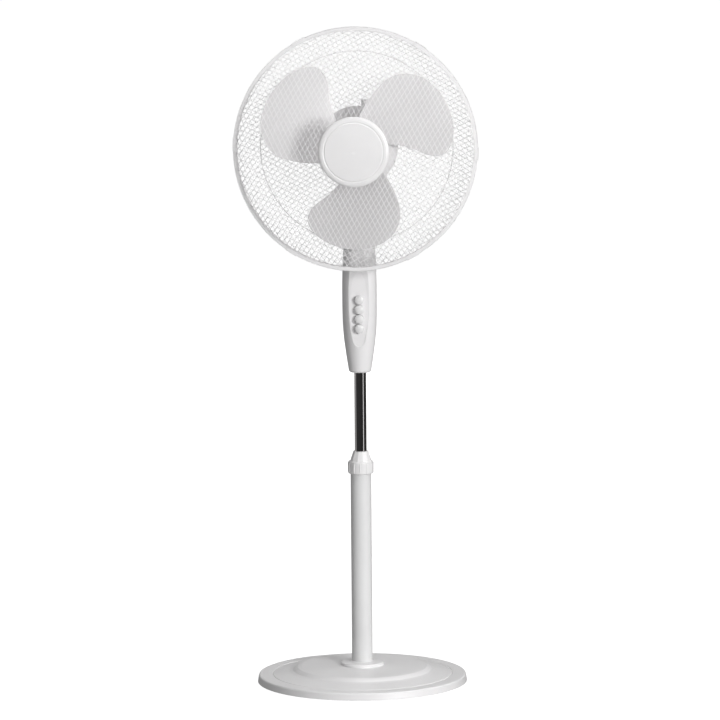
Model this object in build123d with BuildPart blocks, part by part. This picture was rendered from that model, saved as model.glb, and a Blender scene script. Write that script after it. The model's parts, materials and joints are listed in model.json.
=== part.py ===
"""A pedestal fan: weighted round base, telescopic pole, control box and an oscillating head.

Frame: millimetres, +Z up, origin on the floor under the middle of the base.
The fan blows towards -Y. It stands in its rest pose: the chrome tube partly drawn out, the head level.
"""

import os
from math import atan2, cos, degrees, hypot, radians, sin

from build123d import *

os.makedirs("parts", exist_ok=True)

# ---------------------------------------------------------------------------- driving dimensions

fit = 0.05  # radial clearance of a pin or shaft that turns or slides
gap = 0.3  # clearance between curved faces of different moving bodies

base_radius = 192.5
foot_circle = 176.0
weight_radius = 150.0
weight_bottom, weight_top = 8.0, 14.0
plateau_height = 31.0
pole_foot = 20.0

pole_radius, pole_bore = 19.0, 17.5
pole_top = 404.0

tube_radius, tube_bore = 11.0, 9.8
tube_bottom, tube_top = 220.0, 650.0

collar_bottom, collar_shoulder, collar_top = 387.0, 410.0, 428.0
collar_radius = 23.0
collar_ribs = 12

box_bottom, box_top = 574.0, 842.0
box_wall = 2.5
panel_face = 25.5  # distance of the panel's front from the mast's axis
panel_thickness = 1.5
button_heights = {"button_off": 656.7, "button_low": 674.3, "button_medium": 691.9, "button_high": 709.5}
button_radius = 7.5

tilt_height = 875.0
neck_top = 921.0

axis_height = 990.0  # the motor's axis
ring_plane = -95.0
ring_radius = 220.0
mesh_pitch = 48.0  # spacing of the guard wires kept in this model, six times the real 8 mm
wire_width = 1.6
layer_thickness = 1.2
clip_angles = [57.6 + 60 * k for k in range(6)]

blade_count = 3
blade_middle = 275.0  # angle of the middle of the lowest blade, seen from the front
blade_lead = 0.56  # millimetres forward per degree of turn
blade_plane = -82.0
blade_thickness = 2.2

housing_radius, housing_bore = 64.0, 61.5
worm_gear_place = (12.3, 44.0)
crank_place = (-3.6, 44.0)
crank_throw = 11.5
link_stud = (-18.0, 0.0)

# ---------------------------------------------------------------------------- planes and helpers

head_plane = Plane.XY.offset(axis_height)  # outlines of (radius, depth) points for turned head parts
head_axis = Axis((0, 0, axis_height), (0, 1, 0))
pieces = {}


def turn(points, plane=Plane.XZ, axis=Axis.Z, arc=360, mode=Mode.ADD):
    """Turn a closed outline about an axis, as part of the current piece."""
    with BuildSketch(plane) as outline:
        with BuildLine():
            Polyline(*points, close=True)
        make_face()
    revolve(outline.sketch, axis=axis, revolution_arc=arc, mode=mode)


def turn_in_head(points, mode=Mode.ADD):
    """Turn an outline of (radius, depth) points about the motor's axis."""
    turn(points, plane=head_plane, axis=head_axis, mode=mode)


def block(x, y, z, mode=Mode.ADD):
    """A block between two limits along each axis, as part of the current piece."""
    middle = [(low + high) / 2 for low, high in (x, y, z)]
    size = [high - low for low, high in (x, y, z)]
    with Locations(tuple(middle)):
        Box(*size, mode=mode)


def rod(radius, low, high, place=(0, 0), mode=Mode.ADD):
    """A vertical round rod, or a hole, between two heights."""
    with Locations((*place, low)):
        Cylinder(radius, high - low, align=(Align.CENTER, Align.CENTER, Align.MIN), mode=mode)


def rod_along(axis_plane, radius, start, end, mode=Mode.ADD):
    """A round rod along a plane's normal, between two distances from its origin."""
    with BuildSketch(axis_plane.offset(start)) as end_circle:
        Circle(radius)
    extrude(end_circle.sketch, amount=end - start, mode=mode)


def rearwards(height):
    """An upright plane through the mast's axis at a height, its normal towards the back."""
    return Plane((0, 0, height), x_dir=(1, 0, 0), z_dir=(0, 1, 0))


def frontwards(height):
    """The same plane, its normal towards the front and its own y axis upwards."""
    return Plane((0, 0, height), x_dir=(1, 0, 0), z_dir=(0, -1, 0))


def polar(radius, angle):
    return radius * cos(radians(angle)), radius * sin(radians(angle))


# ---------------------------------------------------------------------------- base

screw_circle = 110.0
base_outer = [
    (base_radius, 1.5),
    (base_radius - 1.6, 12.4),
    (base_radius - 2.6, 14.2),
    (base_radius - 4.4, 15),
    (166.5, 15.4),
    (165.6, 14.4),
    (164.4, 14.4),
    (163.5, 15.5),
    (146, 18.8),
    (134, 20.8),
    (128, 22.6),
    (123.5, 25.6),
    (119, 28),
    (112, 29.1),
    (46, plateau_height),
]
base_inner = [
    (pole_radius + 1, 28.5),
    (46, 28.5),
    (112, 26.6),
    (118, 25.4),
    (122, 23.2),
    (127, 20.2),
    (133, 18.4),
    (146, 16.2),
    (163, 12.4),
    (183, 12.2),
    (187, 11.4),
    (188.6, 9.6),
    (base_radius - 2.6, 1.5),
]
with BuildPart() as base_cover:
    turn(base_outer + [(pole_radius + 1, plateau_height)] + base_inner)
    with PolarLocations(foot_circle, 6, start_angle=30):
        with Locations((0, 0, 3)):
            Cylinder(6, 10, align=(Align.CENTER, Align.CENTER, Align.MIN))
    with PolarLocations(screw_circle, 4, start_angle=45):
        with Locations((0, 0, weight_top)):
            Cylinder(6, 13.5, align=(Align.CENTER, Align.CENTER, Align.MIN))
    with PolarLocations(foot_circle, 6, start_angle=30):
        with Locations((0, 0, 3)):
            Cylinder(3.1, 5.2, align=(Align.CENTER, Align.CENTER, Align.MIN), mode=Mode.SUBTRACT)
    with PolarLocations(screw_circle, 4, start_angle=45):
        with Locations((0, 0, weight_top)):
            Cylinder(2.05, 9, align=(Align.CENTER, Align.CENTER, Align.MIN), mode=Mode.SUBTRACT)
pieces["base_cover"] = base_cover

with BuildPart() as base_weight:
    rod(weight_radius, weight_bottom, weight_top)
    chamfer(base_weight.edges().filter_by(GeomType.CIRCLE), 1)
    rod(5.2, weight_bottom, weight_top, mode=Mode.SUBTRACT)
    with PolarLocations(screw_circle, 4, start_angle=45):
        with Locations((0, 0, weight_bottom)):
            Cylinder(2.3, 6, align=(Align.CENTER, Align.CENTER, Align.MIN), mode=Mode.SUBTRACT)
pieces["base_weight"] = base_weight

with BuildPart() as weight_screws:
    with PolarLocations(screw_circle, 4, start_angle=45):
        with Locations((0, 0, weight_bottom - 2.6)):
            Cylinder(4.5, 2.6, align=(Align.CENTER, Align.CENTER, Align.MIN))
        with Locations((0, 0, weight_bottom)):
            Cylinder(2, 14, align=(Align.CENTER, Align.CENTER, Align.MIN))
pieces["weight_screws"] = weight_screws

with BuildPart() as base_feet:
    with PolarLocations(foot_circle, 6, start_angle=30):
        Cylinder(9, 3, align=(Align.CENTER, Align.CENTER, Align.MIN))
        with Locations((0, 0, 3)):
            Cylinder(3, 5, align=(Align.CENTER, Align.CENTER, Align.MIN))
pieces["base_feet"] = base_feet

with BuildPart() as pole_socket:
    turn([
        (0, weight_top), (36, weight_top), (36, 17), (34, pole_foot), (pole_bore - 0.1, pole_foot),
        (pole_bore - 0.1, 68), (pole_bore - 2, 70), (0, 70),
    ])
    rod(5.05, weight_top, 62, mode=Mode.SUBTRACT)
pieces["pole_socket"] = pole_socket

with BuildPart() as base_bolt:
    rod(12, weight_bottom - 1.5, weight_bottom)
    with BuildSketch(Plane.XY.offset(1.5)):
        RegularPolygon(9, 6)
    extrude(amount=5)
    rod(5, weight_bottom, 60)
pieces["base_bolt"] = base_bolt

with BuildPart() as pole_flange:
    turn([
        (pole_radius + 0.1, plateau_height), (40, plateau_height), (40, 34.2), (38.8, 36.2), (36.5, 37),
        (24, 37.4), (pole_radius + 1.2, 38.4), (pole_radius + 0.1, 38.4),
    ])
pieces["pole_flange"] = pole_flange

with BuildPart() as outer_pole:
    turn([
        (pole_bore, pole_foot), (pole_radius, pole_foot), (pole_radius, pole_top), (pole_bore, pole_top),
    ])
pieces["outer_pole"] = outer_pole

# ---------------------------------------------------------------------------- height clamp

with BuildPart() as clamp_collet:
    turn([
        (tube_radius + fit, 372), (pole_bore - 0.1, 372), (pole_bore - 0.1, pole_top), (18.6, pole_top),
        (18.6, pole_top + 2), (16.4, pole_top + 2), (12.4, pole_top + 19), (tube_radius + fit, pole_top + 19),
    ])
    for angle in (45, 135):
        with BuildSketch(Plane.XY.offset(pole_top + 5)):
            Rectangle(40, 2, rotation=angle)
        extrude(amount=20, mode=Mode.SUBTRACT)
pieces["clamp_collet"] = clamp_collet

with BuildPart() as height_collar:
    turn([
        (0, collar_bottom), (21.4, collar_bottom), (22.6, collar_bottom + 0.6), (collar_radius, collar_bottom + 2),
        (collar_radius, collar_shoulder - 2), (22.6, collar_shoulder - 0.6), (21.4, collar_shoulder),
        (0, collar_shoulder),
    ])
    with BuildSketch(Plane.XY.offset(collar_shoulder)) as cone_foot:
        RegularPolygon(20, collar_ribs, rotation=15)
    with BuildSketch(Plane.XY.offset(collar_top)) as cone_head:
        RegularPolygon(14.2, collar_ribs, rotation=15)
    loft([cone_foot.sketch, cone_head.sketch])
    with PolarLocations(collar_radius - 0.15, collar_ribs):
        with Locations((0, 0, collar_bottom + 2.5)):
            Cylinder(1.0, 18, align=(Align.CENTER, Align.CENTER, Align.MIN))
    turn([
        (0, collar_bottom - 1), (pole_radius + gap, collar_bottom - 1), (pole_radius + gap, pole_top + 2.8),
        (17.4, pole_top + 2.8), (13.0, pole_top + 20.5), (tube_radius + gap, pole_top + 20.5),
        (tube_radius + gap, collar_top + 1), (0, collar_top + 1),
    ], mode=Mode.SUBTRACT)
pieces["height_collar"] = height_collar

# ---------------------------------------------------------------------------- mast

clamp_height = 600.0
clamp_plane = rearwards(clamp_height)
with BuildPart() as inner_tube:
    turn([
        (tube_bore, tube_bottom), (tube_radius, tube_bottom), (tube_radius, tube_top), (tube_bore, tube_top),
    ])
    rod_along(clamp_plane, 2.1, 5, 15, mode=Mode.SUBTRACT)
pieces["inner_tube"] = inner_tube

with BuildPart() as tube_glide:
    turn([
        (7, tube_bottom - 6), (16.4, tube_bottom - 6), (pole_bore - 0.1, tube_bottom - 5),
        (pole_bore - 0.1, tube_bottom + 12), (tube_radius + fit, tube_bottom + 12),
        (tube_radius + fit, tube_bottom), (7, tube_bottom),
    ])
pieces["tube_glide"] = tube_glide

# The control box is a slim spindle, scooped flat in front where the buttons are.
box_side = [(20.7, 577.6), (23.8, 598), (28.8, 636), (31.5, 706), (30.2, 778), (27, 820), (24.2, box_top)]
scoop = [(-27.4, 612), (-panel_face, 702), (-28.6, 822)]
cavity_face = 22.5


def spindle(inset):
    """The control box's outline (radius, height), taken in all round, turned about the mast's axis."""
    with BuildSketch(Plane.XZ) as outline:
        with BuildLine():
            side = Spline(*[(radius - inset, height) for radius, height in box_side])
            foot = (box_side[0][0] - inset - 1.3, 575.3 + inset)
            toe = (box_side[0][0] - inset - 3.9, box_bottom + inset)
            ThreePointArc(toe, foot, side @ 0)
            Polyline(side @ 1, (0, box_top), (0, box_bottom + inset), toe)
        make_face()
    revolve(outline.sketch, axis=Axis.Z)


with BuildPart() as box_body:
    spindle(0)
    with BuildSketch(Plane.YZ):
        with BuildLine():
            ThreePointArc(*scoop)
            Polyline(scoop[2], (-60, scoop[2][1]), (-60, scoop[0][1]), scoop[0])
        make_face()
    extrude(amount=40, both=True, mode=Mode.SUBTRACT)

with BuildPart() as box_cavity:
    spindle(box_wall)
    block((-40, 40), (-60, -cavity_face), (box_bottom, box_top + 1), mode=Mode.SUBTRACT)
    block((-40, 40), (-40, 40), (box_top - box_wall, box_top + 1), mode=Mode.SUBTRACT)

panel_outline = [(0, 624), (12.2, 642), (17.4, 692), (12.6, 738), (0, 764)]


yoke_spigot = 17.5
with BuildPart() as control_box_front:
    add(box_body.part)
    add(box_cavity.part, mode=Mode.SUBTRACT)
    block((-40, 40), (0, 40), (box_bottom - 1, box_top + 1), mode=Mode.SUBTRACT)
    rod(tube_radius + 0.1, box_bottom - 1, box_bottom + 6, mode=Mode.SUBTRACT)
    rod(yoke_spigot + 0.1, box_top - 10, box_top + 1, mode=Mode.SUBTRACT)
    with BuildSketch(Plane.XZ.offset(panel_face - panel_thickness)):
        with BuildLine():
            edge = Spline(*panel_outline, tangents=[(1, 0), (-1, 1.3)])
            mirror(edge, about=Plane.YZ)
        make_face()
    extrude(amount=20, mode=Mode.SUBTRACT)
    block((-9.5, 9.5), (-30, -15), (646, 720.3), mode=Mode.SUBTRACT)
pieces["control_box_front"] = control_box_front

box_screw_posts = {764.0: 29.5, 800.0: 27.6}  # height of each screw and where its post meets the wall
gland_plane = rearwards(618)
with BuildPart() as control_box_rear:
    add(box_body.part)
    add(box_cavity.part, mode=Mode.SUBTRACT)
    block((-40, 40), (-40, 0), (box_bottom - 1, box_top + 1), mode=Mode.SUBTRACT)
    rod(tube_radius + 0.1, box_bottom - 1, box_bottom + 6, mode=Mode.SUBTRACT)
    rod(yoke_spigot + 0.1, box_top - 10, box_top + 1, mode=Mode.SUBTRACT)
    rod_along(clamp_plane, 5, tube_radius + 1.5, 22.5)
    rod_along(clamp_plane, 2.05, 8, 30, mode=Mode.SUBTRACT)
    rod_along(clamp_plane, 4.2, 20.5, 30, mode=Mode.SUBTRACT)
    rod_along(gland_plane, 6.1, 14, 40, mode=Mode.SUBTRACT)
    for height, post_end in box_screw_posts.items():
        rod_along(rearwards(height), 5, 0, post_end)
        rod_along(rearwards(height), 1.8, -1, 40, mode=Mode.SUBTRACT)
        rod_along(rearwards(height), 3.7, 20, 40, mode=Mode.SUBTRACT)
pieces["control_box_rear"] = control_box_rear

with BuildPart() as box_screws:
    for height in box_screw_posts:
        rod_along(rearwards(height), 1.7, 1, 20)
        rod_along(rearwards(height), 3.4, 20, 22.4)
pieces["box_screws"] = box_screws

with BuildPart() as tube_clamp_screw:
    rod_along(clamp_plane, 2.0, 9, 20.5)
    rod_along(clamp_plane, 4.0, 20.5, 23)
pieces["tube_clamp_screw"] = tube_clamp_screw

with BuildPart() as cord_gland:
    rod_along(gland_plane, 6.0, 20, 29)
    rod_along(gland_plane, 8.0, 28.3, 30.5)
    rod_along(gland_plane, 5.0, 30.5, 36)
    rod_along(gland_plane, 3.4, 19, 37, mode=Mode.SUBTRACT)
pieces["cord_gland"] = cord_gland

with BuildPart() as control_panel:
    with BuildSketch(Plane.XZ.offset(panel_face - panel_thickness)):
        with BuildLine():
            edge = Spline(*[(max(x - 0.1, 0), height) for x, height in panel_outline], tangents=[(1, 0), (-1, 1.3)])
            mirror(edge, about=Plane.YZ)
        make_face()
    extrude(amount=panel_thickness)
    for height in button_heights.values():
        rod_along(frontwards(height), button_radius + gap, 20, 30, mode=Mode.SUBTRACT)
pieces["control_panel"] = control_panel

with BuildPart() as switch_block:
    block((-11, 11), (-15, 8), (652, 722))
    for height in button_heights.values():
        rod_along(frontwards(height), 3.4, 6, 16, mode=Mode.SUBTRACT)
    block((-6, 6), (8, 14), (664, 672))
pieces["switch_block"] = switch_block

for name, height in button_heights.items():
    with BuildPart() as button:
        with BuildSketch(Plane.XY.offset(height)):
            with BuildLine():
                crown = ThreePointArc((0, -31.4), (5.4, -30.4), (button_radius, -27.6))
                Polyline(crown @ 1, (button_radius, -23.7), (8.5, -23.7), (8.5, -22.3), (3, -22.3), (3, -11), (0, -11))
                Line((0, -11), (0, -31.4))
            make_face()
        revolve(axis=Axis((0, 0, height), (0, 1, 0)))
    pieces[name] = button

with BuildPart() as run_capacitor:
    block((-15, 15), (6, 18), (728, 752))
    fillet(run_capacitor.edges().filter_by(Axis.Z), 2)
pieces["run_capacitor"] = run_capacitor

# ---------------------------------------------------------------------------- tilt joint

ear_outer, ear_inner, ear_radius = 15.2, 9.2, 13.0
bolt_radius = 4.0
with BuildPart() as tilt_yoke:
    rod(23.4, box_top, box_top + 5)
    rod(yoke_spigot, box_top - 14, box_top)
    with BuildSketch(Plane.YZ):
        with Locations((0, (box_top + 4 + tilt_height) / 2)):
            Rectangle(2 * ear_radius, tilt_height - box_top - 4)
        with Locations((0, tilt_height)):
            Circle(ear_radius)
    extrude(amount=ear_outer, both=True)
    block((-ear_inner, ear_inner), (-20, 20), (box_top + 5, tilt_height + 20), mode=Mode.SUBTRACT)
    with BuildSketch(Plane.YZ.offset(-20)):
        with Locations((0, tilt_height)):
            Circle(bolt_radius + fit)
    extrude(amount=40, mode=Mode.SUBTRACT)
    rod(8, box_top - 15, box_top + 6, mode=Mode.SUBTRACT)
pieces["tilt_yoke"] = tilt_yoke

bolt_plane = Plane((0, 0, tilt_height), x_dir=(0, 1, 0), z_dir=(1, 0, 0))
with BuildPart() as tilt_bolt:
    rod_along(bolt_plane, bolt_radius, -15.4, 24)
    with BuildSketch(bolt_plane.offset(-20.4)):
        RegularPolygon(7.2, 6)
    extrude(amount=5)
pieces["tilt_bolt"] = tilt_bolt

with BuildPart() as tilt_knob:
    rod_along(bolt_plane, 7, 15.4, 18)
    rod_along(bolt_plane, 12, 18, 28)
    chamfer(tilt_knob.edges().filter_by(GeomType.CIRCLE).group_by(Axis.X)[-1], 1.5)
    with BuildSketch(bolt_plane.offset(18)):
        with PolarLocations(13.2, 8):
            Circle(2.6)
    extrude(amount=10, mode=Mode.SUBTRACT)
    rod_along(bolt_plane, bolt_radius + 0.02, 15, 24.2, mode=Mode.SUBTRACT)
pieces["tilt_knob"] = tilt_knob

pin_radius = 6.95
screw_height = 905.0
with BuildPart() as neck_bracket:
    with BuildSketch(Plane.YZ):
        with Locations((0, tilt_height + 8)):
            Rectangle(22, 16)
        with Locations((0, tilt_height)):
            Circle(11)
    extrude(amount=ear_inner - gap, both=True)
    turn([
        (0, tilt_height + 15.5), (14, tilt_height + 15.5), (15, tilt_height + 17), (16, 908), (24, 916),
        (24, neck_top), (0, neck_top),
    ])
    rod(pin_radius + fit, tilt_height + 17, neck_top, mode=Mode.SUBTRACT)
    rod(2.05, 910, neck_top, place=link_stud, mode=Mode.SUBTRACT)
    rod_along(bolt_plane, bolt_radius + fit, -20, 20, mode=Mode.SUBTRACT)
    rod_along(rearwards(screw_height), 2.55, 5, 30, mode=Mode.SUBTRACT)
pieces["neck_bracket"] = neck_bracket

with BuildPart() as swivel_screw:
    rod_along(rearwards(screw_height), 2.5, 6, 19.5)
    rod_along(rearwards(screw_height), 4.2, 18, 20.5)
pieces["swivel_screw"] = swivel_screw

with BuildPart() as link_screw:
    rod(2.0, 912, neck_top, place=link_stud)
    rod(2.95, neck_top, neck_top + 3.3, place=link_stud)
    rod(4.2, neck_top + 3.3, neck_top + 4.6, place=link_stud)
pieces["link_screw"] = link_screw

crank_pin = (crank_place[0] - crank_throw, crank_place[1])
link_length = hypot(crank_pin[0] - link_stud[0], crank_pin[1] - link_stud[1])
link_angle = degrees(atan2(crank_pin[1] - link_stud[1], crank_pin[0] - link_stud[0]))
link_plane = Plane((*link_stud, neck_top + 0.5), x_dir=(*polar(1, link_angle), 0), z_dir=(0, 0, 1))
with BuildPart() as link_arm:
    with BuildSketch(link_plane):
        with Locations((link_length / 2, 0)):
            SlotCenterToCenter(link_length, 9)
        with Locations((0, 0)):
            Circle(3.0, mode=Mode.SUBTRACT)
        with Locations((link_length, 0)):
            Circle(3.2, mode=Mode.SUBTRACT)
    extrude(amount=2.5)
pieces["link_arm"] = link_arm

# ---------------------------------------------------------------------------- motor

shaft_radius = 4.0
bearing_radius = 9.0
shield_radius = 50.0
stator_front, stator_rear = -24.0, 6.0
screw_ring = 44.0
screw_angles = (45, 135, 225, 315)


def motor_screw_holes(radius, start, end, mode):
    """Rods along the motor's axis on the circle of the long screws."""
    with BuildSketch(Plane((0, start, axis_height), x_dir=(1, 0, 0), z_dir=(0, 1, 0))) as circles:
        with Locations(*[polar(screw_ring, angle) for angle in screw_angles]):
            Circle(radius)
    extrude(circles.sketch, amount=end - start, mode=mode)


with BuildPart() as front_end_shield:
    turn_in_head([
        (bearing_radius + fit, -56), (21, -56), (22, -55), (22, -40), (shield_radius, -40),
        (shield_radius, stator_front), (46, stator_front), (46, -36), (bearing_radius + fit, -36),
    ])
    motor_screw_holes(2.05, -38.6, -30, Mode.SUBTRACT)
pieces["front_end_shield"] = front_end_shield

with BuildPart() as rear_end_shield:
    turn_in_head([
        (bearing_radius + fit, 20), (46, 20), (46, stator_rear), (shield_radius, stator_rear),
        (shield_radius, 26), (bearing_radius + fit, 26),
    ])
    block((-12, 12), (14, 26), (934, 943))
    block((-10, 10), (-10, 26), (926, 936))
    rod(7.5, neck_top + gap, 927)
    turn([
        (0, 892), (5.9, 892), (pin_radius, 893), (pin_radius, 902), (5.4, 902), (5.4, 908), (pin_radius, 908),
        (pin_radius, 922), (0, 922),
    ])
    motor_screw_holes(2.1, 5, 27, Mode.SUBTRACT)
pieces["rear_end_shield"] = rear_end_shield

with BuildPart() as stator_core:
    turn_in_head([(24.4, stator_front), (shield_radius, stator_front), (shield_radius, stator_rear), (24.4, stator_rear)])
    motor_screw_holes(2.1, stator_front, stator_rear, Mode.SUBTRACT)
pieces["stator_core"] = stator_core

with BuildPart() as stator_windings:
    turn_in_head([(28, -33), (30, -34.5), (36, -34.5), (39, -32), (39, stator_front), (27, stator_front), (27, -31)])
    turn_in_head([(27, stator_rear), (39, stator_rear), (39, 15), (36, 17.5), (30, 17.5), (27, 15)])
pieces["stator_windings"] = stator_windings

with BuildPart() as shaft_bearings:
    turn_in_head([(shaft_radius + 0.03, -52), (bearing_radius, -52), (bearing_radius, -36), (shaft_radius + 0.03, -36)])
    turn_in_head([(shaft_radius + 0.03, 17), (bearing_radius, 17), (bearing_radius, 26), (shaft_radius + 0.03, 26)])
pieces["shaft_bearings"] = shaft_bearings

with BuildPart() as motor_screws:
    motor_screw_holes(2.0, -38, 26, Mode.ADD)
    motor_screw_holes(3.8, 26, 29.5, Mode.ADD)
pieces["motor_screws"] = motor_screws

# ---------------------------------------------------------------------------- oscillation gearbox

case_x, case_y = (-20.0, 24.0), (26.0, 62.0)
case_bottom, case_top = 935.0, 1000.0
wall = 2.5
with BuildPart() as gearbox_case:
    block(case_x, case_y, (case_bottom, case_top))
    block((case_x[0] + wall, case_x[1] - wall), (case_y[0] + wall, case_y[1] - wall), (case_bottom + wall, case_top + 1),
          mode=Mode.SUBTRACT)
    rod(4.0 + fit, case_bottom - 1, case_bottom + 4, place=crank_place, mode=Mode.SUBTRACT)
    rod_along(rearwards(axis_height), shaft_radius + 0.6, 25, 30, mode=Mode.SUBTRACT)
    rod_along(rearwards(axis_height), 2.1, 58, 64, mode=Mode.SUBTRACT)
pieces["gearbox_case"] = gearbox_case

with BuildPart() as gearbox_cover:
    block(case_x, case_y, (case_top, case_top + wall))
    rod(6, case_top, case_top + 14, place=worm_gear_place)
    rod(3.0 + fit, case_top - 1, case_top + 15, place=worm_gear_place, mode=Mode.SUBTRACT)
pieces["gearbox_cover"] = gearbox_cover

with BuildPart() as worm_gear:
    rod(8.5, 985, 995, place=worm_gear_place)
    rod(2.5, 938, 996.4, place=worm_gear_place)
    rod(3.5, 961, 971, place=worm_gear_place)
    with Locations((*worm_gear_place, 985)):
        with PolarLocations(8.8, 24):
            Cylinder(0.55, 10, align=(Align.CENTER, Align.CENTER, Align.MIN), mode=Mode.SUBTRACT)
pieces["worm_gear"] = worm_gear

with BuildPart() as crank_gear:
    rod(12, 962, 970, place=crank_place)
    rod(4, 933, 962, place=crank_place)
    rod(15, 929, 933, place=crank_place)
    rod(3, 924.6, 929, place=crank_pin)
    with Locations((*crank_place, 962)):
        with PolarLocations(12.3, 36):
            Cylinder(0.55, 8, align=(Align.CENTER, Align.CENTER, Align.MIN), mode=Mode.SUBTRACT)
pieces["crank_gear"] = crank_gear

with BuildPart() as oscillation_knob:
    rod(3.0, 998, 1056, place=worm_gear_place)
    rod(5.0, 1046, 1058, place=worm_gear_place)
    rod(9.0, 1057, 1070, place=worm_gear_place)
    fillet(oscillation_knob.edges().filter_by(GeomType.CIRCLE).group_by(Axis.Z)[-1], 2.5)
pieces["oscillation_knob"] = oscillation_knob

# ---------------------------------------------------------------------------- motor housing

with BuildPart() as motor_housing:
    with BuildSketch(head_plane):
        with BuildLine():
            shoulder = Line((housing_radius, -36), (housing_radius, 62))
            crown = ThreePointArc((housing_radius, 62), (55, 88), (22, 99))
            Polyline(crown @ 1, (4.4, 100), (4.4, 96), (2.3, 96), (2.3, 66), (6, 66), (6, 97), (22, 96.4))
            inner_crown = ThreePointArc((22, 96.4), (53, 86), (housing_bore, 62))
            Polyline(inner_crown @ 1, (housing_bore, -36), (housing_radius, -36))
        make_face()
    revolve(axis=head_axis)
    block((-27, 27), (-18, 66), (900, 950), mode=Mode.SUBTRACT)
    rod(5.8, 1040, 1060, place=worm_gear_place, mode=Mode.SUBTRACT)
    vent_plane = Plane((0, 70, axis_height), x_dir=(1, 0, 0), z_dir=(0, 1, 0))
    with BuildSketch(vent_plane):
        with PolarLocations(34, 16):
            SlotOverall(20, 3.2)
    extrude(amount=40, mode=Mode.SUBTRACT)
pieces["motor_housing"] = motor_housing

with BuildPart() as housing_screw:
    rod_along(rearwards(axis_height), 2.0, 60, 96)
    rod_along(rearwards(axis_height), 4.0, 96, 98.6)
pieces["housing_screw"] = housing_screw

with BuildPart() as motor_front_cover:
    turn_in_head([
        (shield_radius + 0.1, -40), (62, -40), (housing_radius, -38.5), (housing_radius, -36),
        (housing_bore, -36), (housing_bore - 0.1, -30), (59, -30), (59, -37), (shield_radius + 0.1, -37),
    ])
pieces["motor_front_cover"] = motor_front_cover

# ---------------------------------------------------------------------------- guards

rim_radius, rim_wire = 215.4, 2.2
front_rim, rear_rim = ring_plane - 2.9, ring_plane + 2.9
plate_radius = 74.0
hoop_radius = 174.0
# Each guard's dome as (radius, depth) points, from the rim to the end of the wires at the middle.
front_dome = [
    (212.4, front_rim), (204, -115), (197, -123.5), (184, -130), (155, -139), (125, -146), (90, -151), (58, -153.4),
]
rear_dome = [
    (212.4, rear_rim), (204, -75), (197, -66.5), (186, -60.5), (155, -52), (125, -47.4), (98, -44.6), (71, -43.3),
]


def dome_depth(dome, radius):
    """The depth of a dome at a radius, on straight lines between its points."""
    for (outer, outer_depth), (inner, inner_depth) in zip(dome, dome[1:]):
        if radius >= inner:
            share = (radius - inner) / (outer - inner)
            return inner_depth + share * (outer_depth - inner_depth)
    return dome[-1][1]


def half_wire(dome, distance):
    """The (length, depth) points of half a wire that passes the axis at a distance, from the rim inwards."""
    points = [
        ((radius**2 - distance**2) ** 0.5, depth)
        for radius, depth in dome
        if radius > distance + 4
    ]
    if distance > dome[-1][0]:
        points.append((0, dome_depth(dome, distance)))
    return points


def guard_wires(dome, direction, layer):
    """Flat-sided wires bent over a dome, side by side in one direction, in the front or rear layer."""
    wires = []
    count = int(dome[0][0] / mesh_pitch)
    half = layer_thickness / 2
    for distance in [mesh_pitch * (k + 0.5) for k in range(-count, count)]:
        for side in (1, -1):
            points = [(side * length, depth + layer * half) for length, depth in half_wire(dome, abs(distance))]
            if side == -1 and points[-1][0] == 0:
                continue
            if points[-1][0] == 0:
                points += [(-length, depth) for length, depth in reversed(points[:-1])]
            outline = [(x, depth - half) for x, depth in points] + [(x, depth + half) for x, depth in reversed(points)]
            along = polar(1, direction)
            across = polar(distance, direction + 90)
            wire_plane = Plane(
                (across[0], 0, axis_height + across[1]),
                x_dir=(along[0], 0, along[1]),
                z_dir=(-along[1], 0, along[0]),
            )
            with BuildSketch(wire_plane) as band:
                with BuildLine():
                    Polyline(*outline, close=True)
                make_face()
            wires += extrude(band.sketch, amount=wire_width / 2, both=True, mode=Mode.PRIVATE).solids()
    return wires


# The wires of a guard stay separate solids, laid across each other.
wire_groups = {
    "front_grille": Compound(guard_wires(front_dome, 115.5, -1) + guard_wires(front_dome, 56.0, 1)),
    "rear_grille": Compound(guard_wires(rear_dome, 29.0, 1) + guard_wires(rear_dome, 153.0, -1)),
}


def wire_ring(radius, wire, depth):
    """A round wire bent into a ring about the motor's axis."""
    with BuildSketch(head_plane) as section:
        with Locations((radius, depth)):
            Circle(wire)
    revolve(section.sketch, axis=head_axis)


with BuildPart() as front_grille_rim:
    wire_ring(rim_radius, rim_wire, front_rim)
pieces["front_grille_rim"] = front_grille_rim

with BuildPart() as rear_grille_rim:
    wire_ring(rim_radius, rim_wire, rear_rim)
    wire_ring(hoop_radius, 1.5, -53.0)
pieces["rear_grille_rim"] = rear_grille_rim

with BuildPart() as rear_grille_plate:
    turn_in_head([(22.1, -42), (plate_radius, -42), (plate_radius, -40), (22.1, -40)])
pieces["rear_grille_plate"] = rear_grille_plate

with BuildPart() as front_grille_plate:
    turn_in_head([(14, -151.9), (61, -151.9), (61, -150.7), (14, -150.7)])
pieces["front_grille_plate"] = front_grille_plate

with BuildPart() as grille_nut:
    turn_in_head([(22.1, -54), (31, -54), (34, -51), (34, -42), (22.1, -42)])
    with BuildSketch(frontwards(axis_height).offset(42)) as grips:
        with PolarLocations(35, 12):
            Circle(3)
    extrude(grips.sketch, amount=12, mode=Mode.SUBTRACT)
pieces["grille_nut"] = grille_nut

channel_front, channel_rear = ring_plane - 7, ring_plane + 7
with BuildPart() as grille_ring:
    turn_in_head([
        (ring_radius - 0.6, channel_front), (ring_radius, channel_front + 1.2), (ring_radius, channel_rear - 1.2),
        (ring_radius - 0.6, channel_rear), (213, channel_rear), (213, channel_rear - 1.5),
        (218, channel_rear - 1.5), (218, channel_front + 1.5), (213, channel_front + 1.5), (213, channel_front),
    ])
pieces["grille_ring"] = grille_ring

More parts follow.
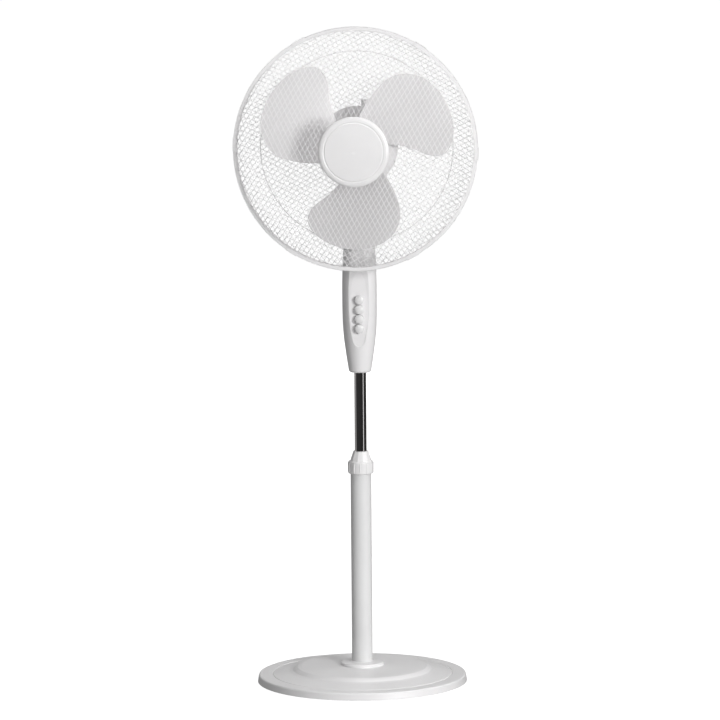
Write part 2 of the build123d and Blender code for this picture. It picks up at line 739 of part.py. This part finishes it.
clip_span = 5.8
with BuildPart() as one_clip:
    turn([
        (ring_radius + 1.2, channel_front - 1.2), (ring_radius + 1.2, channel_rear + 1.2), (213.2, channel_rear + 1.2),
        (213.2, channel_rear + 0.1), (ring_radius + 0.1, channel_rear + 0.1), (ring_radius + 0.1, channel_front - 0.1),
        (213.2, channel_front - 0.1), (213.2, channel_front - 1.2),
    ], plane=head_plane, axis=head_axis, arc=clip_span)
with BuildPart() as ring_clips:
    for angle in clip_angles:
        add(one_clip.part.rotate(head_axis, clip_span / -2 - angle))
pieces["ring_clips"] = ring_clips

badge_back, badge_front = -154.9, -160.6
with BuildPart() as grille_badge:
    turn_in_head([
        (0, badge_front), (30, badge_front + 0.35), (51.5, badge_front + 1.2), (52.5, badge_front + 2.0),
        (54, badge_front + 2.0), (55, badge_front + 1.5), (59, badge_front + 2.0), (62, badge_front + 3.4),
        (63, badge_front + 5.0), (63, badge_back),
        (14, badge_back + 0.2), (13, -150), (10, -150), (10, badge_back + 0.2), (0, badge_back),
    ])
pieces["grille_badge"] = grille_badge

# ---------------------------------------------------------------------------- rotor

with BuildPart() as motor_shaft:
    turn_in_head([
        (0, -123), (3.4, -123), (shaft_radius, -122.4), (shaft_radius, 28), (2.6, 28), (2.6, 36), (3.4, 36),
        (3.4, 52), (2.6, 52), (2.6, 54), (0, 54),
    ])
    with BuildSketch(Plane.XY.offset(axis_height - 12)) as pin_hole:
        with Locations((0, -61.5)):
            Circle(1.25)
    extrude(pin_hole.sketch, amount=24, mode=Mode.SUBTRACT)
pieces["motor_shaft"] = motor_shaft

with BuildPart() as drive_pin:
    with BuildSketch(Plane.XY.offset(axis_height - 9)):
        with Locations((0, -61.5)):
            Circle(1.2)
    extrude(amount=18)
pieces["drive_pin"] = drive_pin

with BuildPart() as rotor_core:
    turn_in_head([
        (shaft_radius + 0.02, stator_front), (24, stator_front), (24, stator_rear), (shaft_radius + 0.02, stator_rear),
    ])
pieces["rotor_core"] = rotor_core

hub_radius, hub_rear, hub_front = 30.0, -60.0, -108.0
blade_edge = [  # (radius, angle seen from the front) from the leading root, round the tip, to the trailing root
    (28, 250), (70, 244.5), (109, 237), (140, 233.3), (160, 236), (174, 244.5), (182.5, 267), (174, 289),
    (150, 302), (109, 311.5), (70, 320), (28, 336),
]


def blade_depth(angle):
    """Where the blade's screw surface lies along the motor's axis, at an angle seen from the front."""
    return blade_plane - blade_lead * (angle - blade_middle)


with BuildPart() as one_blade:
    for angle in range(225, 350, 15):
        outwards = (cos(radians(angle)), 0, sin(radians(angle)))
        across = (-outwards[2], 0, outwards[0])
        with BuildSketch(Plane((0, blade_depth(angle), axis_height), x_dir=outwards, z_dir=across)):
            with Locations((105, 0)):
                Rectangle(170, blade_thickness)
    loft()
    with BuildSketch(frontwards(axis_height)) as blade_outline:
        with BuildLine():
            rim = Spline(*[polar(radius, angle) for radius, angle in blade_edge])
            Line(rim @ 1, rim @ 0)
        make_face()
    extrude(blade_outline.sketch, amount=150, mode=Mode.INTERSECT)

with BuildPart() as fan_blades:
    turn_in_head([
        (4.02, hub_front), (24, hub_front), (28.5, hub_front + 2), (hub_radius, hub_front + 6),
        (hub_radius, hub_rear), (27.5, hub_rear), (27.5, hub_front + 8), (10, hub_front + 8), (10, hub_rear),
        (4.02, hub_rear),
    ])
    for k in range(blade_count):
        add(one_blade.part.rotate(head_axis, 360 / blade_count * k))
    turn_in_head([(4.02, hub_rear + 1), (27.4, hub_rear + 1), (27.4, hub_front + 8.1), (10.1, hub_front + 8.1),
                  (10.1, hub_rear - 4), (4.02, hub_rear - 4)], mode=Mode.SUBTRACT)
    block((-1.5, 1.5), (hub_rear - 4, hub_rear + 1), (axis_height - 9.5, axis_height + 9.5), mode=Mode.SUBTRACT)
pieces["fan_blades"] = fan_blades

with BuildPart() as blade_nut:
    turn_in_head([
        (4.02, hub_front), (16, hub_front), (16, hub_front - 6), (14, hub_front - 12), (9, hub_front - 17),
        (0, hub_front - 19), (0, hub_front - 15.5), (4.02, hub_front - 15.5),
    ])
pieces["blade_nut"] = blade_nut

# ---------------------------------------------------------------------------- files

for name, shape in {**{name: piece.part for name, piece in pieces.items()}, **wire_groups}.items():
    shape.label = name
    export_step(shape, f"parts/{name}.step")
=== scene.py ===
"""Looks of the pedestal fan: full mesh guards, round rims, button caps, materials, studio and camera.

Everything is in metres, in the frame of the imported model: +Z up, the fan blows towards -Y.
"""

import json
import math

import bmesh
import bpy
from mathutils import Matrix, Vector


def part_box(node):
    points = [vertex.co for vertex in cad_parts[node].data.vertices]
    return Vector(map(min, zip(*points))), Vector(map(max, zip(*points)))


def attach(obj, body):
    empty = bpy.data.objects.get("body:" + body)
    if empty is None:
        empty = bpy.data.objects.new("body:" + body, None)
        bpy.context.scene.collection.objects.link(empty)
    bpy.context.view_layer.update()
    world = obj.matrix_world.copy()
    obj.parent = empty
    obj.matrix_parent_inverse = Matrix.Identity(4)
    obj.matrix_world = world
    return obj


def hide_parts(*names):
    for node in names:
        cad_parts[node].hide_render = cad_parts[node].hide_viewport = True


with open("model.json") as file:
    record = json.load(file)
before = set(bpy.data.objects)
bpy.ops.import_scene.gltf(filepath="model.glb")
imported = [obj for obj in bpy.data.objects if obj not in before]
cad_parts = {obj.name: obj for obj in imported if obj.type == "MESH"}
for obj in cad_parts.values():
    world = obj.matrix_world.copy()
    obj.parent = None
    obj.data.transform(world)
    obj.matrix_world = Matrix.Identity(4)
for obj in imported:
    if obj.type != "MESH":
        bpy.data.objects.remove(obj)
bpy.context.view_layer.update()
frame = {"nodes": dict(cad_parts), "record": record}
NODES = frame["nodes"]

# ---------------------------------------------------------------------------- driving sizes and places

ring_low, ring_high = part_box("grille_ring")
AXIS_HEIGHT = (ring_low[2] + ring_high[2]) / 2
RING_PLANE = (ring_low[1] + ring_high[1]) / 2

MESH_PITCH = 0.008
WIRE_RADIUS = 0.0005
WIRE_SIDES = 6
EDGE_MARGIN = 0.0015  # no mesh wire is laid closer than this to a guard's edge
FRONT_WIRES = (115.5, 56.0)  # directions of a guard's two layers of wires, in degrees from +X towards +Z
REAR_WIRES = (153.0, 29.0)

RIM_GAP = 0.0029  # half the distance between the two guards' rims
RIM_RADIUS = 0.2154
RIM_WIRE = 0.0022
HOOP_RADIUS = 0.174
HOOP_DEPTH = 0.0420  # behind the ring's plane
HOOP_WIRE = 0.0009

# Each dome as (radius, distance in front of the ring's plane); the rear one bulges backwards.
FRONT_DOME = [
    (0.2128, RIM_GAP), (0.2118, 0.0075), (0.2085, 0.0135), (0.2040, 0.0200), (0.1975, 0.0280),
    (0.1840, 0.0350), (0.1550, 0.0440), (0.1250, 0.0510), (0.0900, 0.0560), (0.0580, 0.0584),
]
REAR_DOME = [
    (0.2128, -RIM_GAP), (0.2118, -0.0075), (0.2085, -0.0135), (0.2040, -0.0200), (0.1975, -0.0282),
    (0.1860, -0.0345), (0.1550, -0.0430), (0.1250, -0.0476), (0.0980, -0.0504), (0.0710, -0.0517),
]

CAP_PROUD = 0.0028  # how far a button's cap stands in front of the solid it replaces
CAP_SHIFT = 0.0008  # and how far it sits towards +X
CAP_DOME = 0.0036
CAP_SKIRT = 0.0105  # length of the cap's full-width part, its dome included
CAP_STEM_RADIUS = 0.003
CAP_STEM_GAP = 0.0005  # the stem ends this much before the solid's back

TENT_REACH = 40
CARD_RADIUS = 4.5
STRIP_RADIUS = 4.4
CARD_HALF_HEIGHT = 1.6
LAMP_DISTANCE = 5.0
LAMP_TARGET = Vector((0, 0, 0.7))


# ---------------------------------------------------------------------------- materials


class Paint:
    """A Principled material with its node tree at hand."""

    def __init__(self, name, colour, roughness, metallic=0.0):
        self.material = bpy.data.materials.new(name)
        self.material.use_nodes = True
        self.tree = self.material.node_tree
        self.shader = self.tree.nodes["Principled BSDF"]
        self.shader.inputs["Base Color"].default_value = (*colour, 1)
        self.shader.inputs["Roughness"].default_value = roughness
        self.shader.inputs["Metallic"].default_value = metallic
        self.place = self.node("ShaderNodeTexCoord").outputs["Object"]

    def node(self, kind):
        return self.tree.nodes.new(kind)

    def link(self, start, end):
        self.tree.links.new(start, end)

    def noise(self, scale, detail, stretch):
        """A noise value in object space, stretched along the axes."""
        mapping = self.node("ShaderNodeMapping")
        mapping.inputs["Scale"].default_value = stretch
        self.link(self.place, mapping.inputs["Vector"])
        noise = self.node("ShaderNodeTexNoise")
        noise.inputs["Scale"].default_value = scale
        noise.inputs["Detail"].default_value = detail
        self.link(mapping.outputs["Vector"], noise.inputs["Vector"])
        return noise.outputs["Fac"]

    def ramp(self, value, low, high):
        """A colour between two others, by the middle stretch of a noise value."""
        ramp = self.node("ShaderNodeValToRGB")
        first, last = ramp.color_ramp.elements
        first.position, last.position = 0.35, 0.65
        first.color, last.color = (*low, 1), (*high, 1)
        self.link(value, ramp.inputs["Fac"])
        return ramp.outputs["Color"]

    def mottle(self, colour, spread, scale, stretch=(1, 1, 1)):
        """Slight unevenness of the colour."""
        darker = [channel * (1 - spread) for channel in colour]
        mottled = self.ramp(self.noise(scale, 4, stretch), darker, colour)
        self.link(mottled, self.shader.inputs["Base Color"])

    def uneven_gloss(self, low, high, scale, stretch=(1, 1, 1)):
        """Roughness that wanders between two values."""
        spread = self.node("ShaderNodeMapRange")
        spread.inputs["To Min"].default_value = low
        spread.inputs["To Max"].default_value = high
        self.link(self.noise(scale, 4, stretch), spread.inputs["Value"])
        self.link(spread.outputs["Result"], self.shader.inputs["Roughness"])

    def grain(self, scale, strength, depth, stretch=(1, 1, 1)):
        """Fine surface relief; depth in metres."""
        bump = self.node("ShaderNodeBump")
        bump.inputs["Strength"].default_value = strength
        bump.inputs["Distance"].default_value = depth
        self.link(self.noise(scale, 2, stretch), bump.inputs["Height"])
        self.link(bump.outputs["Normal"], self.shader.inputs["Normal"])


def moulded_plastic(name, colour, roughness, coat=0.12):
    """Injection moulded plastic: a faint mottle, slightly uneven gloss and a very fine moulded grain."""
    paint = Paint(name, colour, roughness)
    paint.mottle(colour, 0.035, 14)
    paint.uneven_gloss(roughness - 0.05, roughness + 0.07, 45)
    paint.grain(1400, 0.10, 0.00012)
    paint.shader.inputs["Coat Weight"].default_value = coat
    paint.shader.inputs["Coat Roughness"].default_value = 0.22
    return paint.material


def powder_coat(name, colour, roughness):
    """Powder coat on steel: a low orange-peel relief under a satin gloss."""
    paint = Paint(name, colour, roughness)
    paint.mottle(colour, 0.02, 30)
    paint.uneven_gloss(roughness - 0.04, roughness + 0.05, 90)
    paint.grain(520, 0.16, 0.00010)
    return paint.material


def chrome_plate(name):
    """Bright chrome with faint lengthwise polishing marks."""
    lengthwise = (1, 1, 0.02)
    paint = Paint(name, (0.62, 0.60, 0.60), 0.06, metallic=1.0)
    paint.uneven_gloss(0.035, 0.11, 260, lengthwise)
    paint.grain(900, 0.04, 0.00003, lengthwise)
    return paint.material


def bare_metal(name, colour, roughness, scale=300, stretch=(1, 1, 1)):
    """Plated or cast metal with a fine uneven finish."""
    paint = Paint(name, colour, roughness, metallic=1.0)
    paint.mottle(colour, 0.12, scale / 6, stretch)
    paint.uneven_gloss(roughness - 0.08, roughness + 0.12, scale, stretch)
    paint.grain(scale * 3, 0.15, 0.00012, stretch)
    return paint.material


def soft_rubber(name):
    """Matt black rubber with a coarse grain."""
    paint = Paint(name, (0.035, 0.035, 0.037), 0.75)
    paint.mottle((0.045, 0.045, 0.047), 0.25, 60)
    paint.grain(900, 0.35, 0.0002)
    return paint.material


def copper_windings(name):
    """Enamelled wire laid in fine turns."""
    turns = (1, 6, 1)
    paint = Paint(name, (0.45, 0.17, 0.07), 0.3, metallic=0.85)
    paint.mottle((0.55, 0.22, 0.09), 0.5, 500, turns)
    paint.grain(700, 0.8, 0.0006, turns)
    return paint.material


MATERIALS = {
    "white_plastic": moulded_plastic("white_abs", (0.79, 0.782, 0.785), 0.36),
    # painted light: the panel's plastic is made lighter than the body's white to offset the guard ring's
    # shadow that falls on the panel
    "panel_plastic": moulded_plastic("panel_abs_lightened_over_shadow", (0.83, 0.82, 0.825), 0.40),
    "button_plastic": moulded_plastic("button_abs", (0.76, 0.755, 0.755), 0.26, coat=0.25),
    "blade_plastic": moulded_plastic("blade_polypropylene", (0.77, 0.76, 0.765), 0.30, coat=0.2),
    "white_paint": powder_coat("white_powder_coat", (0.72, 0.72, 0.72), 0.34),
    "white_wire": powder_coat("white_wire_coat", (0.88, 0.87, 0.875), 0.38),
    "chrome": chrome_plate("chrome_plate"),
    "cast_weight": powder_coat("black_cast_paint", (0.03, 0.03, 0.03), 0.6),
    "rubber": soft_rubber("black_rubber"),
    "inner_plastic": moulded_plastic("natural_nylon", (0.62, 0.60, 0.54), 0.5),
    "zinc_steel": bare_metal("zinc_steel", (0.55, 0.55, 0.53), 0.34),
    "cast_aluminium": bare_metal("cast_aluminium", (0.60, 0.60, 0.61), 0.48, scale=180),
    "lamination": bare_metal("steel_laminations", (0.22, 0.22, 0.23), 0.42, 420, (1, 12, 1)),
    "copper_winding": copper_windings("copper_windings"),
    "bronze": bare_metal("sintered_bronze", (0.45, 0.28, 0.13), 0.5, scale=240),
}
SLOT_OF = {part["node"]: part["material_slot"] for part in frame["record"]["subparts"]}


def paint_nodes():
    """Give every CAD node its slot's material."""
    for name, node in NODES.items():
        material = MATERIALS[SLOT_OF[name]]
        if node.data.materials:
            for index in range(len(node.data.materials)):
                node.data.materials[index] = material
        else:
            node.data.materials.append(material)


# ---------------------------------------------------------------------------- mesh helpers


def add_object(name, bm, slot):
    """A smooth object of the fan from a finished bmesh, in its slot's material."""
    mesh = bpy.data.meshes.new(name)
    bm.normal_update()
    bm.to_mesh(mesh)
    bm.free()
    for polygon in mesh.polygons:
        polygon.use_smooth = True
    made = bpy.data.objects.new(name, mesh)
    bpy.context.scene.collection.objects.link(made)
    made.data.materials.append(MATERIALS[slot])
    return made


def full_turn(count):
    """Equal steps of angle round a full turn."""
    return [2 * math.pi * k / count for k in range(count)]


def join_loops(bm, here, there):
    """A band of faces between two closed loops of vertices."""
    for k in range(len(here)):
        j = (k + 1) % len(here)
        bm.faces.new((here[k], here[j], there[j], there[k]))


def tube(bm, points, radius):
    """A round wire along a line of points, with closed ends."""
    loops = []
    for index, point in enumerate(points):
        before = points[max(index - 1, 0)]
        after = points[min(index + 1, len(points) - 1)]
        forward = (after - before).normalized()
        side = forward.cross(Vector((0, 1, 0))).normalized()
        up = side.cross(forward)
        loops.append([
            bm.verts.new(point + radius * (math.cos(angle) * side + math.sin(angle) * up))
            for angle in full_turn(WIRE_SIDES)
        ])
    for here, there in zip(loops, loops[1:]):
        join_loops(bm, here, there)
    bm.faces.new(list(reversed(loops[0])))
    bm.faces.new(loops[-1])


# ---------------------------------------------------------------------------- guards


def smooth_profile(points, steps=5):
    """The dome's outline through its points, as a Catmull-Rom curve of (radius, depth), by falling radius."""
    result = []
    for index in range(len(points) - 1):
        before = points[max(index - 1, 0)]
        start, end = points[index], points[index + 1]
        after = points[min(index + 2, len(points) - 1)]
        for k in range(steps):
            t = k / steps
            result.append(tuple(
                0.5 * (
                    2 * b + (c - a) * t
                    + (2 * a - 5 * b + 4 * c - d) * t * t
                    + (3 * b - a - 3 * c + d) * t**3
                )
                for a, b, c, d in zip(before, start, end, after)
            ))
    result.append(points[-1])
    return result


def depth_at(profile, radius):
    """The dome's depth at a radius."""
    for (outer, outer_depth), (inner, inner_depth) in zip(profile, profile[1:]):
        if radius >= inner:
            share = (radius - inner) / max(outer - inner, 1e-9)
            return inner_depth + min(share, 1) * (outer_depth - inner_depth)
    return profile[-1][1]


def wire_stations(profile, distance):
    """Places along the wires that pass the axis at a distance: one wire right across, or two to the plate."""
    plate_radius = profile[-1][0]
    nearest = max(abs(distance), plate_radius)
    half = [math.sqrt(radius**2 - distance**2) for radius, _ in profile if radius > nearest + 1e-5]
    if abs(distance) >= plate_radius:
        return [half + [0.0] + [-place for place in reversed(half)]]
    half.append(math.sqrt(plate_radius**2 - distance**2))
    return [half, [-place for place in half]]


def guard_mesh(name, dome, directions, body, node):
    """The full mesh of one guard: two layers of round wires, straight when seen along the axis."""
    profile = smooth_profile(dome)
    edge = profile[0][0]
    count = int(edge / MESH_PITCH) + 1
    bm = bmesh.new()
    for layer, direction in zip((1, -1), directions):
        along = Vector((math.cos(math.radians(direction)), 0, math.sin(math.radians(direction))))
        across = Vector((-along.z, 0, along.x))
        for k in range(-count, count + 1):
            distance = MESH_PITCH * k
            if abs(distance) > edge - EDGE_MARGIN:
                continue
            for stations in wire_stations(profile, distance):
                points = []
                for place in stations:
                    depth = depth_at(profile, math.hypot(place, distance))
                    middle = Vector((0, RING_PLANE - depth - layer * WIRE_RADIUS, AXIS_HEIGHT))
                    points.append(along * place + across * distance + middle)
                tube(bm, points, WIRE_RADIUS)
    mesh = add_object(name, bm, "white_wire")
    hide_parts(node)
    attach(mesh, body)


def round_hoops(name, node, hoops):
    """Round wires bent to full circles about the fan's axis: (radius, place along it, wire radius) each."""
    bm = bmesh.new()
    for radius, depth, wire in hoops:
        loops = []
        for angle in full_turn(240):
            loop = []
            for turn in full_turn(12):
                reach = radius + wire * math.cos(turn)
                y = RING_PLANE + depth + wire * math.sin(turn)
                height = AXIS_HEIGHT + reach * math.sin(angle)
                loop.append(bm.verts.new((reach * math.cos(angle), y, height)))
            loops.append(loop)
        for here, there in zip(loops, loops[1:] + loops[:1]):
            join_loops(bm, here, there)
    bmesh.ops.recalc_face_normals(bm, faces=bm.faces)
    mesh = add_object(name, bm, "white_wire")
    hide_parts(node)
    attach(mesh, "head")


# ---------------------------------------------------------------------------- push buttons


def button_cap(node_name, body):
    """A push button's cap: a thin stem, then a full-width skirt that ends in a dome."""
    low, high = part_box(node_name)
    centre = Vector(((low[0] + high[0]) / 2 + CAP_SHIFT, low[1] - CAP_PROUD, (low[2] + high[2]) / 2))
    radius = (high[0] - low[0]) / 2
    back = high[1] - low[1] + CAP_PROUD - CAP_STEM_GAP
    outline = [(0.0, back), (CAP_STEM_RADIUS, back), (CAP_STEM_RADIUS, CAP_SKIRT), (radius, CAP_SKIRT)]
    for k in range(13):
        turn = math.radians(90 * k / 12)
        outline.append((radius * math.cos(turn), CAP_DOME * (1 - math.sin(turn))))
    bm = bmesh.new()
    lines = []
    for angle in full_turn(64):
        lines.append([
            bm.verts.new(centre + Vector((across * math.cos(angle), along, across * math.sin(angle))))
            for across, along in outline
        ])
    for here, there in zip(lines, lines[1:] + lines[:1]):
        for i in range(len(outline) - 1):
            bm.faces.new((here[i], there[i], there[i + 1], here[i + 1]))
    bmesh.ops.remove_doubles(bm, verts=bm.verts, dist=1e-6)
    bmesh.ops.recalc_face_normals(bm, faces=bm.faces)
    cap = add_object(node_name + "_cap", bm, "button_plastic")
    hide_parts(node_name)
    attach(cap, body)


# ---------------------------------------------------------------------------- studio


def staged(name, corners, faces, material, **visible):
    """A piece of the studio: a mesh of corners and faces, seen only by the kinds of ray left switched on."""
    mesh = bpy.data.meshes.new(name)
    mesh.from_pydata(corners, [], faces)
    mesh.materials.append(material)
    made = bpy.data.objects.new(name, mesh)
    bpy.context.scene.collection.objects.link(made)
    for ray in ("camera", "diffuse", "glossy", "transmission", "shadow"):
        setattr(made, "visible_" + ray, visible.get(ray, False))


def glowing(name, grey, glow):
    """A matt grey that also gives off white light."""
    paint = Paint(name, (grey, grey, grey), 0.9)
    paint.shader.inputs["Emission Color"].default_value = (1, 1, 1, 1)
    paint.shader.inputs["Emission Strength"].default_value = glow
    return paint.material


def curved_wall(name, start, end, radius, material):
    """An upright card bent round the fan, from one bearing to another; only mirrored rays see it."""
    steps = 24
    corners = []
    for k in range(steps + 1):
        bearing = math.radians(start + (end - start) * k / steps)
        for z in (-CARD_HALF_HEIGHT, CARD_HALF_HEIGHT):
            corners.append((radius * math.sin(bearing), -radius * math.cos(bearing), z))
    faces = [(2 * k, 2 * k + 2, 2 * k + 3, 2 * k + 1) for k in range(steps)]
    staged(name, corners, faces, material, glossy=True)


def white_surroundings():
    """A wide white floor and a white tent over everything; neither lights the fan."""
    far = TENT_REACH
    square = [(-far, -far), (far, -far), (far, far), (-far, far)]
    floor = [(x, y, 0) for x, y in square]
    staged("floor", floor, [(0, 1, 2, 3)], glowing("floor_paper", 0.3, 0.95), camera=True)
    tent = [(x, y, z) for z in (-far, far) for x, y in square]
    sides = [(k, (k + 1) % 4, (k + 1) % 4 + 4, k + 4) for k in range(4)]
    staged("tent", tent, sides + [(4, 5, 6, 7), (0, 1, 2, 3)], glowing("tent_cloth", 0.5, 1.05), camera=True)


def lamp(name, bearing, rise, size, energy, mirrored=True):
    """A soft box aimed at the middle of the fan; bearing from the front towards +X, rise above level."""
    turn, lift = math.radians(bearing), math.radians(rise)
    offset = Vector((math.cos(lift) * math.sin(turn), -math.cos(lift) * math.cos(turn), math.sin(lift)))
    light = bpy.data.lights.new(name, "AREA")
    light.shape = "RECTANGLE"
    light.size, light.size_y = size
    light.energy = energy
    made = bpy.data.objects.new(name, light)
    bpy.context.scene.collection.objects.link(made)
    made.location = LAMP_TARGET + offset * LAMP_DISTANCE
    made.rotation_euler = (-offset).to_track_quat("-Z", "Y").to_euler()
    made.visible_glossy = mirrored


def studio():
    """Dim white world, six soft boxes, and dark cards and grey strips for the chrome tube to mirror."""
    world = bpy.data.worlds.new("studio")
    world.use_nodes = True
    background = world.node_tree.nodes["Background"]
    background.inputs["Color"].default_value = (1, 1, 1, 1)
    background.inputs["Strength"].default_value = 0.19
    bpy.context.scene.world = world
    white_surroundings()
    lamp("key_right", 40, 12, (1.4, 1.4), 178)
    lamp("front_soft", 5, 10, (2.2, 1.6), 30)
    lamp("side_right", 100, 15, (1.2, 1.8), 16)
    lamp("top_soft", 20, 78, (3.5, 3.5), 120)
    lamp("floor_bounce", 5, -40, (3.0, 2.0), 30)
    lamp("rear_soft", 192, 12, (2.4, 2.4), 105, mirrored=False)
    dark = Paint("dark_card", (0.05, 0.05, 0.05), 1.0).material
    curved_wall("card_left", -82, 55, CARD_RADIUS, dark)
    curved_wall("card_right", 69, 150, CARD_RADIUS, dark)
    curved_wall("strip_right", 57, 68, STRIP_RADIUS, glowing("strip_glow", 0.8, 0.9))
    curved_wall("strip_left", -150, -84, STRIP_RADIUS, glowing("strip_grey", 0.1, 0.28))


def camera():
    """A long lens from a little above, three degrees round towards +X, rolled very slightly."""
    azimuth, pitch, roll = math.radians(3.2), math.radians(7.5), math.radians(0.45)
    distance, height = 8.6, 1.728
    data = bpy.data.cameras.new("camera")
    data.sensor_width = 36
    data.lens = 237.5
    data.clip_end = 200
    made = bpy.data.objects.new("camera", data)
    bpy.context.scene.collection.objects.link(made)
    turn = Matrix.Rotation(azimuth, 4, "Z") @ Matrix.Rotation(math.pi / 2 - pitch, 4, "X")
    turn = turn @ Matrix.Rotation(-roll, 4, "Z")
    place = Vector((distance * math.sin(azimuth), -distance * math.cos(azimuth), height))
    made.matrix_world = Matrix.Translation(place) @ turn
    bpy.context.scene.camera = made


paint_nodes()
guard_mesh("front_guard_mesh", FRONT_DOME, FRONT_WIRES, "head", "front_grille")
guard_mesh("rear_guard_mesh", REAR_DOME, REAR_WIRES, "head", "rear_grille")
round_hoops("front_guard_rim", "front_grille_rim", [(RIM_RADIUS, -RIM_GAP, RIM_WIRE)])
rear_hoops = [(RIM_RADIUS, RIM_GAP, RIM_WIRE), (HOOP_RADIUS, HOOP_DEPTH, HOOP_WIRE)]
round_hoops("rear_guard_hoops", "rear_grille_rim", rear_hoops)
for speed in ("off", "low", "medium", "high"):
    button_cap("button_" + speed, "button_" + speed + "_body")
studio()
camera()
bpy.context.scene.view_settings.view_transform = "Standard"
